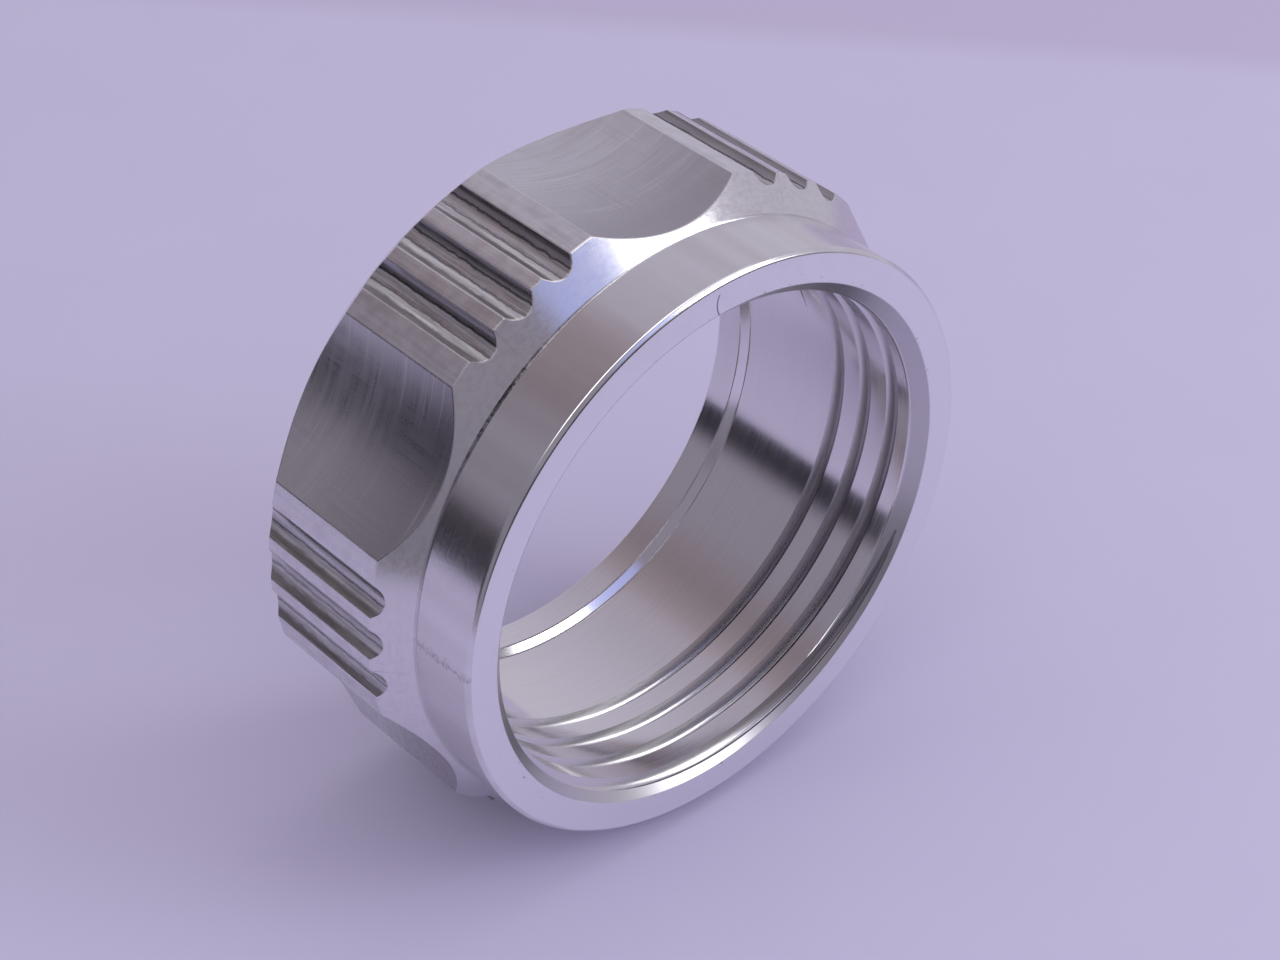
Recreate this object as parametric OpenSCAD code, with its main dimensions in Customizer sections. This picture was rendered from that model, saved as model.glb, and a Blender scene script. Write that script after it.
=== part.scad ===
// Threaded lock ring, turned and milled from one piece of aluminium.
// It stands on edge as it does on a table: its axis runs along Y, the threaded
// front face looks towards -Y, and the origin is on the floor under its middle.

/* [Thread] */
// Major diameter of the internal thread
thread_d = 47; // [40:1:60]
// Pitch of the thread, 8 turns to the inch
pitch = 3.175; // [2:0.025:3.5]
// Depth of the groove below the wall of the bore
groove_depth = 1.12; // [0.6:0.02:1.6]
// Flat at the root of the groove
root_flat = 0.1; // [0.05:0.05:0.4]
// Depth of the last full groove below the front face
thread_len = 11.9; // [7:0.1:14]
// Lead-in chamfer at the mouth of the thread
mouth_chamfer = 1.25; // [0.5:0.05:1.5]
// Angle, seen from the front, where the line of the groove meets the front face
thread_start = 10; // [0:5:355]

/* [Spigot] */
// Wall of the plain front spigot round the thread
spigot_wall = 3; // [1.5:0.1:4]
// Length of the spigot from the front face to the chamfer
spigot_len = 6.4; // [4:0.1:9]
// Edge break round the front outer edge
spigot_break = 0.3; // [0.1:0.05:0.6]

/* [Collar] */
// Height of the collar's lands above the spigot, and of its front chamfer
collar_rise = 2.5; // [2:0.1:5]
// Length of the whole ring
ring_len = 24; // [22:0.5:30]
// Chamfer at 45 degrees on the rear edge of the collar
rear_chamfer = 2.3; // [1:0.1:3]

/* [Grip] */
// Number of wide scallops round the collar, with flutes between them
scallop_count = 6; // [4:2:6]
// Depth of a scallop at its middle
scallop_depth = 2; // [1:0.1:2.4]
// Radius of the hollow of a scallop
scallop_r = 25; // [20:1:40]
// Number of narrow flutes in each group
flute_count = 3; // [1:1:3]
// Diameter of the round flute
flute_d = 3.5; // [2:0.1:4.5]
// Depth of a flute below the land
flute_depth = 0.8; // [0.4:0.05:1.1]
// Angle from one flute to the next
flute_step = 8.2; // [7:0.1:9]

/* [Rear lip] */
// Step from the bore in to the lip, turned at 45 degrees
lip_step = 0.68; // [0.3:0.02:2]
// Length of the lip with its step
lip_len = 3.5; // [2.5:0.1:5]
// Edge break on the rear edge of the lip
lip_break = 0.2; // [0.1:0.05:0.4]

/* [Hidden] */
$fn = 180;
spigot_r = thread_d / 2 + spigot_wall;
collar_r = spigot_r + collar_rise;
minor_r = thread_d / 2 - groove_depth;
lip_r = minor_r - lip_step;
scallop_c = collar_r - scallop_depth + scallop_r;
// Half the angle that a scallop takes from the collar
scallop_half = acos((scallop_c * scallop_c + collar_r * collar_r - scallop_r * scallop_r)
                    / (2 * scallop_c * collar_r));
// The ring rests on the two edges of its lowest scallop
axis_z = collar_r * cos(scallop_half);
sector = 360 / scallop_count;
flute_c = collar_r - flute_depth + flute_d / 2;
// Steps of the groove in one turn, and its whole run with the run-out
turn_steps = 60;
run_from = -0.6 * pitch;
run_to = thread_len + 0.3 * pitch;
groove_steps = ceil((run_to - run_from) / pitch * turn_steps);

// Half section of the turned blank, as radius and depth behind the front face
module ring_section() {
    polygon([
        [minor_r + mouth_chamfer, 0],
        [spigot_r - spigot_break, 0],
        [spigot_r, spigot_break],
        [spigot_r, spigot_len],
        [collar_r, spigot_len + collar_rise],
        [collar_r, ring_len - rear_chamfer],
        [collar_r - rear_chamfer, ring_len],
        [lip_r + lip_break, ring_len],
        [lip_r, ring_len - lip_break],
        [lip_r, ring_len - lip_len + lip_step],
        [minor_r, ring_len - lip_len],
        [minor_r, mouth_chamfer]
    ]);
}

// Wide hollows cut along the whole collar, from the end of the spigot back
module scallop_cuts() {
    for (i = [0 : scallop_count - 1])
        rotate(90 + i * sector) translate([scallop_c, 0, spigot_len]) cylinder(r = scallop_r, h = ring_len);
}

// Groups of round flutes, one group between each two scallops
module flute_cuts() {
    for (i = [0 : scallop_count - 1], j = [0 : flute_count - 1])
        rotate(90 + (i + 0.5) * sector + (j - (flute_count - 1) / 2) * flute_step)
            translate([flute_c, 0, spigot_len]) cylinder(d = flute_d, h = ring_len);
}

// Groove section at one step: the flanks are at 60 degrees, and the groove
// lifts out of the wall over the last part of its run
function groove_lift(z) = z < thread_len ? 0 : (z - thread_len) / (run_to - thread_len) * (groove_depth + 0.05);
function groove_section(i) =
    let (z = run_from + (run_to - run_from) * i / groove_steps,
         a = 360 - thread_start + 360 * z / pitch,
         root_r = thread_d / 2 - groove_lift(z),
         mouth_r = root_r - groove_depth - 0.2,
         root_w = root_flat / 2,
         mouth_w = root_w + (root_r - mouth_r) * tan(30))
    [for (p = [[mouth_r, -mouth_w], [root_r, -root_w], [root_r, root_w], [mouth_r, mouth_w]])
        [p[0] * cos(a), p[0] * sin(a), z + p[1]]];

// Right-hand helical groove of the thread
module thread_cut() {
    points = [for (i = [0 : groove_steps]) each groove_section(i)];
    last = 4 * groove_steps;
    sides = [for (i = [0 : groove_steps - 1], j = [0 : 3])
        let (a = 4 * i + j, b = 4 * i + (j + 1) % 4)
        each [[a, b, b + 4], [a, b + 4, a + 4]]];
    ends = [[0, 2, 1], [0, 3, 2], [last, last + 1, last + 2], [last, last + 2, last + 3]];
    polyhedron(points = points, faces = concat(sides, ends));
}

module lock_ring() {
    color("#c8cbd1")
    translate([0, -ring_len / 2, axis_z]) rotate([-90, 0, 0])
    difference() {
        rotate_extrude() ring_section();
        scallop_cuts();
        flute_cuts();
        thread_cut();
    }
}

lock_ring();
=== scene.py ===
# %% [markdown]
# A threaded lock ring, turned and milled from one piece of aluminium.
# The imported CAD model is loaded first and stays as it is: it gives the frame, the
# size and the place of the ring. What is made here is a finer ring in the same
# place, with broken edges, a rounded thread and the finish of each machined face.

# %% Load the frame
import math

import bmesh
import bpy
from mathutils import Matrix, Vector


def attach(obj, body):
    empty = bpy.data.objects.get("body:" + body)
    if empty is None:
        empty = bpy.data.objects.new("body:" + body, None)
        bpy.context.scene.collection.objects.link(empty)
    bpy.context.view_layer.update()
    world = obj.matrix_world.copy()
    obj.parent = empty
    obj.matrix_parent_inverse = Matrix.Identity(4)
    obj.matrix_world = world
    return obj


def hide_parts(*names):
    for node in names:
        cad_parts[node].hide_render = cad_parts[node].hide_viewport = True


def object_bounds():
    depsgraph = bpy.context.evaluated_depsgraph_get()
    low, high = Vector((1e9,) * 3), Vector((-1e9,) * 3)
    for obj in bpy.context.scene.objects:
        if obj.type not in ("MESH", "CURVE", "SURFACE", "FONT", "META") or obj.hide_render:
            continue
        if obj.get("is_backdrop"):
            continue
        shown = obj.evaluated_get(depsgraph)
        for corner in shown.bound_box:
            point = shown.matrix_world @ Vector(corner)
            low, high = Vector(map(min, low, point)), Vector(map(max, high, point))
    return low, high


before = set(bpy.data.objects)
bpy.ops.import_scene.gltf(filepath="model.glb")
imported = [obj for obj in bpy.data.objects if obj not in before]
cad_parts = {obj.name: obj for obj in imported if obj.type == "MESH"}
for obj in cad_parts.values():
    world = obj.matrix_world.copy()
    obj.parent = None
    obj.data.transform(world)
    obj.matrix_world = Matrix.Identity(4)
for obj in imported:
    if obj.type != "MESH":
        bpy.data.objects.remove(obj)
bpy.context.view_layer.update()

# %% [markdown]
# The ring's sizes are those of the CAD source, in millimetres. Radii are measured
# from the ring's axis, which lies along Y, and depths from the front face, which
# looks towards -Y. The ring stands on the two edges of its lowest scallop.

# %% Sizes of the ring
MM = 0.001
THREAD_R, GROOVE_DEPTH, PITCH, THREAD_LEN, THREAD_START = 23.5, 1.12, 3.175, 11.9, 10.0
MINOR_R = THREAD_R - GROOVE_DEPTH
SPIGOT_R, SPIGOT_LEN, SPIGOT_BREAK = 26.5, 6.4, 0.3
COLLAR_R, RING_LEN, REAR_CHAMFER = 29.0, 24.0, 2.3
SCALLOPS, SCALLOP_DEPTH, SCALLOP_R = 6, 2.0, 25.0
FLUTES, FLUTE_R, FLUTE_DEPTH, FLUTE_STEP = 3, 1.75, 0.8, 8.2
MOUTH_CHAMFER, LIP_STEP, LIP_LEN, LIP_BREAK = 1.25, 0.68, 3.5, 0.2
LIP_R = MINOR_R - LIP_STEP
SCALLOP_C = COLLAR_R - SCALLOP_DEPTH + SCALLOP_R
FLUTE_C = COLLAR_R - FLUTE_DEPTH + FLUTE_R
SCALLOP_COS = (SCALLOP_C ** 2 + COLLAR_R ** 2 - SCALLOP_R ** 2) / (2 * SCALLOP_C * COLLAR_R)
AXIS_Z = COLLAR_R * SCALLOP_COS
SECTOR = 360 / SCALLOPS


def at(radius, angle, depth):
    """A point of the ring in metres: angle in degrees, seen from the front, from +X towards +Z."""
    a = math.radians(angle)
    return Vector((radius * math.cos(a), depth - RING_LEN / 2, AXIS_Z + radius * math.sin(a))) * MM


AXIS_POINT = Vector((0, 0, AXIS_Z)) * MM
print("axis height in mm:", round(AXIS_Z, 4), "main bore radius:", round(MINOR_R, 3))

# %% [markdown]
# Two small helpers keep the steps short. One leaves a single object selected and
# active, because an operator works on all that is selected. The other applies a
# Boolean with a cutter and takes the cutter away, as one does by hand.

# %% Helpers for modelling


def only(piece):
    """Leaves one object selected and active, in object mode."""
    if bpy.context.object and bpy.context.object.mode != "OBJECT":
        bpy.ops.object.mode_set(mode="OBJECT")
    bpy.ops.object.select_all(action="DESELECT")
    piece.select_set(True)
    bpy.context.view_layer.objects.active = piece
    return piece


def cut_with(piece, cutter, operation):
    """Applies an exact Boolean, keeps the finish of each cut face, and deletes the cutter."""
    only(piece)
    cut = piece.modifiers.new("cut", "BOOLEAN")
    cut.object, cut.operation, cut.solver, cut.material_mode = cutter, operation, "EXACT", "TRANSFER"
    bpy.ops.object.modifier_apply(modifier=cut.name)
    only(cutter)
    bpy.ops.object.delete()
    return only(piece)


def clean(piece, gap_mm):
    """Merges points closer than the gap and turns every face outwards."""
    only(piece)
    bpy.ops.object.mode_set(mode="EDIT")
    bpy.ops.mesh.select_all(action="SELECT")
    bpy.ops.mesh.remove_doubles(threshold=gap_mm * MM)
    bpy.ops.mesh.normals_make_consistent(inside=False)
    bpy.ops.object.mode_set(mode="OBJECT")
    return piece


def select_in_edit(piece, kind, test):
    """Selects the points, edges or faces that pass a test, in edit mode, and says how many."""
    only(piece)
    bpy.ops.object.mode_set(mode="EDIT")
    bpy.ops.mesh.select_mode(type={"verts": "VERT", "edges": "EDGE", "faces": "FACE"}[kind])
    bpy.ops.mesh.select_all(action="DESELECT")
    mesh = bmesh.from_edit_mesh(piece.data)
    chosen = [e for e in getattr(mesh, kind) if test(e)]
    for e in chosen:
        e.select = True
    mesh.select_flush_mode()
    bmesh.update_edit_mesh(piece.data)
    return len(chosen)


def radius_depth(point):
    """Radius and depth in millimetres of a point in metres."""
    return (math.hypot(point.x, point.z - AXIS_POINT.z) / MM, point.y / MM + RING_LEN / 2)


# %% [markdown]
# The ring is one metal, but every tool left its own surface: turned, faced, bored,
# threaded and milled. The finishes themselves are made later. Here each only gets its
# name, so that a cutter can carry the finish of the face that it leaves behind.

# %% Name the finishes
FINISHES = {name: bpy.data.materials.new(name) for name in (
    "aluminium_turned_satin", "aluminium_faced_bright", "aluminium_chamfer_satin", "aluminium_turned_land",
    "aluminium_milled_scallop", "aluminium_milled_flute", "aluminium_bored", "aluminium_cut_thread")}


def wear(piece, *names):
    """Gives a piece its material slots, in order."""
    for name in names:
        piece.data.materials.append(FINISHES[name])
    return piece


print(len(FINISHES), "finishes named")

# %% [markdown]
# A lathe makes the ring's body by turning a section about the axis, and Spin does
# the same. The section starts as a plane whose corners are merged to one point, and
# that point is extruded along the section. The collar is left too large here, with
# both chamfers running on past its lands, because the grip is milled afterwards.
# A shallow undercut closes the spigot, which is the thin dark line of the real ring.

# %% Draw the section of the turned blank
OVERSIZE = 1.0
UNDERCUT_W, UNDERCUT_D = 0.2, 0.15
top_r = COLLAR_R + OVERSIZE
SECTION = [
    (MINOR_R + MOUTH_CHAMFER, 0), (SPIGOT_R - SPIGOT_BREAK, 0), (SPIGOT_R, SPIGOT_BREAK),
    (SPIGOT_R, SPIGOT_LEN - UNDERCUT_W), (SPIGOT_R - UNDERCUT_D, SPIGOT_LEN - UNDERCUT_W / 2),
    (SPIGOT_R, SPIGOT_LEN),
    (top_r, SPIGOT_LEN + top_r - SPIGOT_R), (top_r, RING_LEN - REAR_CHAMFER - OVERSIZE),
    (COLLAR_R - REAR_CHAMFER, RING_LEN), (LIP_R + LIP_BREAK, RING_LEN), (LIP_R, RING_LEN - LIP_BREAK),
    (LIP_R, RING_LEN - LIP_LEN + LIP_STEP), (MINOR_R, RING_LEN - LIP_LEN), (MINOR_R, MOUTH_CHAMFER)]
bpy.ops.object.select_all(action="DESELECT")
bpy.ops.mesh.primitive_plane_add(size=2 * MM, location=at(SECTION[0][0], 0, SECTION[0][1]))
ring = bpy.context.object
ring.name = ring.data.name = "ring"
bpy.ops.object.mode_set(mode="EDIT")
bpy.ops.mesh.select_all(action="SELECT")
bpy.ops.mesh.merge(type="CENTER")
bpy.ops.mesh.select_mode(type="VERT")
for (r0, d0), (r1, d1) in zip(SECTION, SECTION[1:]):
    bpy.ops.mesh.extrude_region_move(TRANSFORM_OT_translate={"value": at(r1, 0, d1) - at(r0, 0, d0)})
bpy.ops.object.mode_set(mode="OBJECT")
bpy.ops.object.transform_apply(location=True, rotation=True, scale=True)
ends = [min(ring.data.vertices, key=lambda v: (v.co - at(r, 0, d)).length).index
        for r, d in (SECTION[0], SECTION[-1])]
select_in_edit(ring, "verts", lambda v: v.index in ends)
bpy.ops.mesh.edge_face_add()
print("section with", len(SECTION), "corners")

# %% [markdown]
# No turned edge is truly sharp: a touch of emery leaves a narrow rounding that
# catches the light. Beveling the corners of the section before it is spun rounds
# every turned edge at once and keeps the mesh clean.

# %% Break the turned edges and spin the section
TURNED_BREAK = 0.1
SPIN_STEPS = 480
sharp = [at(r, 0, d) for r, d in SECTION
         if abs(r - SPIGOT_R + UNDERCUT_D) > 1e-6 and abs(r - top_r) > 1e-6]
select_in_edit(ring, "verts", lambda v: any((v.co - p).length < 1e-6 for p in sharp))
bpy.ops.mesh.bevel(offset=TURNED_BREAK * MM, offset_type="OFFSET", segments=3, affect="VERTICES")
bpy.ops.mesh.select_all(action="SELECT")
bpy.ops.mesh.spin(steps=SPIN_STEPS, angle=2 * math.pi, center=AXIS_POINT, axis=(0, 1, 0))
clean(ring, 0.004)
wear(ring, "aluminium_turned_satin", "aluminium_faced_bright", "aluminium_chamfer_satin", "aluminium_bored")
print("blank:", len(ring.data.polygons), "faces")

# %% [markdown]
# The turned blank carries four finishes: the faced ends, the chamfers, the bored
# inside and the spigot. Each is picked by the place of its faces and assigned to a
# material slot, which the later cuts keep.

# %% Give the turned faces their finish


def assign(piece, slot_number, test):
    """Puts the faces that pass a test in one material slot."""
    count = select_in_edit(piece, "faces", test)
    piece.active_material_index = slot_number
    bpy.ops.object.material_slot_assign()
    bpy.ops.object.mode_set(mode="OBJECT")
    return count


def is_end(face):
    return abs(face.normal.y) > 0.95


def is_chamfer(face):
    r, d = radius_depth(face.calc_center_median())
    return r > SPIGOT_R + 0.05 and 0.3 < abs(face.normal.y) <= 0.95 and d > 1


def is_inside(face):
    r = radius_depth(face.calc_center_median())[0]
    return r < MINOR_R + MOUTH_CHAMFER and abs(face.normal.y) <= 0.95


print("ends", assign(ring, 1, is_end), "chamfers", assign(ring, 2, is_chamfer),
      "inside", assign(ring, 3, is_inside))

# %% [markdown]
# The thread is one narrow groove that winds in from the front face, right-hand, at
# eight turns to the inch. Its flanks are steep at the mouth and curve into a round
# root, as a worn threading tool leaves them; the CAD ring has plain flanks instead.
# The Screw modifier winds the section into a long cutter, and the last part of the
# winding is drawn back towards the axis, as the tool is when it leaves the cut.

# %% Wind the thread cutter
ROOT = 0.87
GROOVE = [(-0.10, 0.743), (0.3, 0.53), (0.5, 0.42), (0.66, 0.31), (0.77, 0.2), (0.84, 0.1), (ROOT, 0.03)]
groove = [(MINOR_R + h, -w) for h, w in GROOVE] + [(MINOR_R + h, w) for h, w in reversed(GROOVE)]
STEPS = 120
RUN_FROM, RUN_TO = -0.6 * PITCH, THREAD_LEN + 0.3 * PITCH
turns = (RUN_TO - RUN_FROM) / PITCH
start_angle = THREAD_START - 360 * RUN_FROM / PITCH
bpy.ops.object.select_all(action="DESELECT")
bpy.ops.mesh.primitive_circle_add(vertices=len(groove), radius=1 * MM, fill_type="NOTHING")
thread = bpy.context.object
thread.name = thread.data.name = "thread"
for v, (r, w) in zip(thread.data.vertices, groove):
    v.co = at(r, start_angle, RUN_FROM + w) - AXIS_POINT
thread.location = AXIS_POINT
wind = thread.modifiers.new("wind", "SCREW")
wind.axis, wind.iterations, wind.use_smooth_shade = "Y", 1, False
wind.angle, wind.screw_offset = turns * 2 * math.pi, turns * PITCH * MM
wind.steps = wind.render_steps = round(turns * STEPS)
only(thread)
bpy.ops.object.modifier_apply(modifier=wind.name)
bpy.ops.object.transform_apply(location=True, rotation=True, scale=True)
wear(thread, "aluminium_cut_thread")
print("thread cutter:", len(thread.data.vertices), "points,", round(turns, 2), "turns")

# %% Draw back the end of the winding and cut the thread
rings = round(turns * STEPS) + 1
for k in range(rings):
    depth = RUN_FROM + (RUN_TO - RUN_FROM) * k / (rings - 1)
    if depth > THREAD_LEN:
        lift = (depth - THREAD_LEN) / (RUN_TO - THREAD_LEN) * (THREAD_R - MINOR_R + 0.05)
        angle = math.radians(start_angle - 360 * (depth - RUN_FROM) / PITCH)
        back = Vector((math.cos(angle), 0, math.sin(angle))) * -lift * MM
        for v in thread.data.vertices[k * len(groove):(k + 1) * len(groove)]:
            v.co += back
select_in_edit(thread, "verts", lambda v: True)
bpy.ops.mesh.select_non_manifold()
bpy.ops.mesh.fill_holes(sides=0)
clean(thread, 0.001)
cut_with(ring, thread, "DIFFERENCE")
clean(ring, 0.01)
print("ring with thread:", len(ring.data.polygons), "faces")

# %% [markdown]
# The grip is milled along the collar. It is made as a bar of its own: a cylinder of
# the collar's diameter, cut by one wide round cutter for each scallop and one narrow
# cutter for each flute. All cuts run straight along Y, so their long edges are clean
# and can be broken before the bar and the turned blank are brought together.

# %% Mill the grip bar
BAR_LEN = RING_LEN + 8
LENGTHWISE = (math.pi / 2, 0, 0)


def round_bar(name, radius, length, points, centre, finish):
    """A cylinder along Y that carries one finish."""
    bpy.ops.object.select_all(action="DESELECT")
    bpy.ops.mesh.primitive_cylinder_add(vertices=points, radius=radius * MM, depth=length * MM,
                                        location=centre, rotation=LENGTHWISE)
    bar = bpy.context.object
    bar.name = bar.data.name = name
    bpy.ops.object.transform_apply(location=True, rotation=True, scale=True)
    return wear(bar, finish)


def turned_copies(piece, angles):
    """Copies a piece to each angle about the ring's axis and joins the copies."""
    copies = []
    for angle in angles:
        only(piece)
        bpy.ops.object.duplicate()
        copy = bpy.context.object
        copy.data.transform(Matrix.Translation(AXIS_POINT) @ Matrix.Rotation(-math.radians(angle), 4, "Y")
                            @ Matrix.Translation(-AXIS_POINT))
        copies.append(copy)
    only(piece)
    bpy.ops.object.delete()
    only(copies[0])
    for copy in copies:
        copy.select_set(True)
    bpy.ops.object.join()
    return bpy.context.object


grip = round_bar("grip", COLLAR_R, BAR_LEN, 720, AXIS_POINT, "aluminium_turned_land")
scallop = round_bar("scallop", SCALLOP_R, BAR_LEN + 4, 360, at(SCALLOP_C, 0, RING_LEN / 2),
                    "aluminium_milled_scallop")
flute = round_bar("flute", FLUTE_R, BAR_LEN + 4, 64, at(FLUTE_C, 0, RING_LEN / 2),
                  "aluminium_milled_flute")
scallop_angles = [90 + i * SECTOR for i in range(SCALLOPS)]
flute_angles = [a + SECTOR / 2 + (j - (FLUTES - 1) / 2) * FLUTE_STEP
                for a in scallop_angles for j in range(FLUTES)]
cut_with(grip, turned_copies(scallop, scallop_angles), "DIFFERENCE")
cut_with(grip, turned_copies(flute, flute_angles), "DIFFERENCE")
clean(grip, 0.004)
print("grip bar:", len(grip.data.polygons), "faces")

# %% [markdown]
# The milling cutter leaves a sharp arris where a scallop or a flute meets a land, and
# a file has just taken it off. These are the bar's only lengthwise edges with a
# clear angle, so they are picked by direction and angle and beveled together.

# %% Break the long edges of the grip
ARRIS = 0.11
LEAST_RUN, LEAST_ANGLE = 0.02, math.radians(9)


def is_arris(edge):
    run = abs((edge.verts[0].co - edge.verts[1].co).y)
    return len(edge.link_faces) == 2 and run > LEAST_RUN and edge.calc_face_angle(0) > LEAST_ANGLE


picked = select_in_edit(grip, "edges", is_arris)
bpy.ops.mesh.bevel(offset=ARRIS * MM, offset_type="OFFSET", segments=3, affect="EDGES", clamp_overlap=False)
bpy.ops.object.mode_set(mode="OBJECT")
print("long edges broken:", picked)

# %% [markdown]
# Where the bar and the blank overlap is the ring: the bar gives the lands, scallops
# and flutes, and the blank gives the chamfers that they run out through. The curved
# edges left by that meeting are broken with a narrow bevel, which gives the bright
# outlines round the scallops and flutes.

# %% Bring grip and blank together
cut_with(ring, grip, "INTERSECT")
clean(ring, 0.03)
print("ring:", len(ring.data.polygons), "faces")

# %% Break the curved edges
OUTLINE_BREAK = 0.1


def is_outline(edge):
    if len(edge.link_faces) != 2 or edge.calc_face_angle(0) < math.radians(18):
        return False
    for v in edge.verts:
        r, d = radius_depth(v.co)
        front, rear = r - (SPIGOT_R + d - SPIGOT_LEN), r - (COLLAR_R - REAR_CHAMFER + RING_LEN - d)
        if r < SPIGOT_R + 0.3 or min(abs(front), abs(rear)) > 0.02:
            return False
    return True


picked = select_in_edit(ring, "edges", is_outline)
bpy.ops.mesh.bevel(offset=OUTLINE_BREAK * MM, offset_type="OFFSET", segments=2, affect="EDGES",
                   clamp_overlap=False)
bpy.ops.object.mode_set(mode="OBJECT")
print("outline edges broken:", picked)

# %% [markdown]
# A polished or satin surface shows every fault of shading, because it mirrors. The
# cuts have left faces of many shapes, and averaged normals would ripple between them.
# So each corner gets the normal of the surface that the tool made there: about the
# ring's axis for a turned face, and towards the cutter's axis for a milled one. The
# thread keeps its averaged normals.

# %% Shade the ring
only(ring)
bpy.ops.object.shade_smooth_by_angle(angle=math.radians(32))
CUTTER_AXES = {"aluminium_milled_scallop": [at(SCALLOP_C, a, 0) for a in scallop_angles],
               "aluminium_milled_flute": [at(FLUTE_C, a, 0) for a in flute_angles]}


def turn_of(point):
    return math.atan2(point.z - AXIS_POINT.z, point.x)


def tool_normal(face, finish, point):
    """Normal at a point of the surface that the tool left, for one of its faces."""
    if finish in CUTTER_AXES:
        axis = min(CUTTER_AXES[finish], key=lambda c: math.hypot(c.x - face.center.x, c.z - face.center.z))
        towards = Vector((axis.x - point.x, 0, axis.z - point.z)).normalized()
        return towards if towards.angle(face.normal) < math.radians(4) else face.normal
    return Matrix.Rotation(turn_of(face.center) - turn_of(point), 3, "Y") @ face.normal


mesh = ring.data
names = [m.name for m in mesh.materials]
normals = [n.vector.copy() for n in mesh.corner_normals]
for face in mesh.polygons:
    finish = names[face.material_index]
    if finish != "aluminium_cut_thread":
        for i in face.loop_indices:
            normals[i] = tool_normal(face, finish, mesh.vertices[mesh.loops[i].vertex_index].co)
mesh.normals_split_custom_set(normals)
print("shaded", len(mesh.polygons), "faces in the finishes", names)

# %% [markdown]
# The finishes are node materials. Every colour is written as an sRGB hex value, as a
# colour picker shows it, and one function turns it into the linear values of Blender.
# Others add a node with its settings and links, set the stops of a ramp, and join a
# finish to its metal. The last one starts a finish: bare metal, and the place on the
# ring in millimetres as the tools see it. Its "hoop" runs round the axis in the first
# and last part and across the tool marks in the middle one, so noise that is stretched
# in it becomes turning marks. Its "long" has the depth alone in the middle, for marks
# that run along the axis.

# %% Helpers for the finishes
RGBA = {"data_type": "RGBA"}


def linear(hex_colour):
    """Linear RGBA from an sRGB hex colour."""
    parts = [int(hex_colour[i:i + 2], 16) / 255 for i in (1, 3, 5)]
    return tuple(v / 12.92 if v <= 0.04045 else ((v + 0.055) / 1.055) ** 2.4 for v in parts) + (1.0,)


def add(tree, kind, settings, links):
    """Adds one node, gives it its settings, and sets or links its inputs."""
    node = tree.nodes.new(kind)
    for name, value in settings.items():
        setattr(node, name, value)
    for name, value in links.items():
        if isinstance(value, bpy.types.NodeSocket):
            tree.links.new(value, node.inputs[name])
        else:
            node.inputs[name].default_value = value
    return node


def set_stops(ramp, stops):
    """Gives a colour ramp its stops, each a place and an sRGB hex colour."""
    while len(ramp.color_ramp.elements) < len(stops):
        ramp.color_ramp.elements.new(0.5)
    for element, (place, hex_colour) in zip(ramp.color_ramp.elements, stops):
        element.position, element.color = place, linear(hex_colour)


def join_up(tree, shader, colour, roughness, relief):
    """Links the colour, roughness and relief of a finish to its metal."""
    for socket, value in (("Base Color", colour), ("Roughness", roughness), ("Normal", relief)):
        tree.links.new(value, shader.inputs[socket])


def begin(name):
    """Starts a finish: its node tree, its metal shader and the place on the ring."""
    FINISHES[name].use_nodes = True
    tree = FINISHES[name].node_tree
    shader = tree.nodes["Principled BSDF"]
    shader.inputs["Metallic"].default_value = 1.0
    where = add(tree, "ShaderNodeTexCoord", {}, {})
    mm = add(tree, "ShaderNodeVectorMath", {"operation": "MULTIPLY_ADD"},
             {0: where.outputs["Object"], 1: (1000, 1000, 1000), 2: (0, RING_LEN / 2, -AXIS_Z)})
    xyz = add(tree, "ShaderNodeSeparateXYZ", {}, {0: mm.outputs[0]})
    flat = add(tree, "ShaderNodeVectorMath", {"operation": "MULTIPLY"}, {0: mm.outputs[0], 1: (1, 0, 1)})
    radius = add(tree, "ShaderNodeVectorMath", {"operation": "LENGTH"}, {0: flat.outputs[0]})
    turn = add(tree, "ShaderNodeMath", {"operation": "ARCTAN2"}, {0: xyz.outputs["Z"], 1: xyz.outputs["X"]})
    round_it = add(tree, "ShaderNodeVectorMath", {"operation": "NORMALIZE"}, {0: flat.outputs[0]})
    across = add(tree, "ShaderNodeMath", {"operation": "ADD"},
                 {0: xyz.outputs["Y"], 1: radius.outputs["Value"]})
    lift = add(tree, "ShaderNodeCombineXYZ", {}, {"Y": across.outputs[0]})
    hoop = add(tree, "ShaderNodeVectorMath", {"operation": "ADD"},
               {0: round_it.outputs[0], 1: lift.outputs[0]})
    level = add(tree, "ShaderNodeCombineXYZ", {}, {"Y": xyz.outputs["Y"]})
    long = add(tree, "ShaderNodeVectorMath", {"operation": "ADD"},
               {0: round_it.outputs[0], 1: level.outputs[0]})
    place = {"mm": mm.outputs[0], "hoop": hoop.outputs[0], "long": long.outputs[0], "turn": turn.outputs[0],
             "radius": radius.outputs["Value"], "depth": xyz.outputs["Y"]}
    return tree, shader, place
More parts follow.
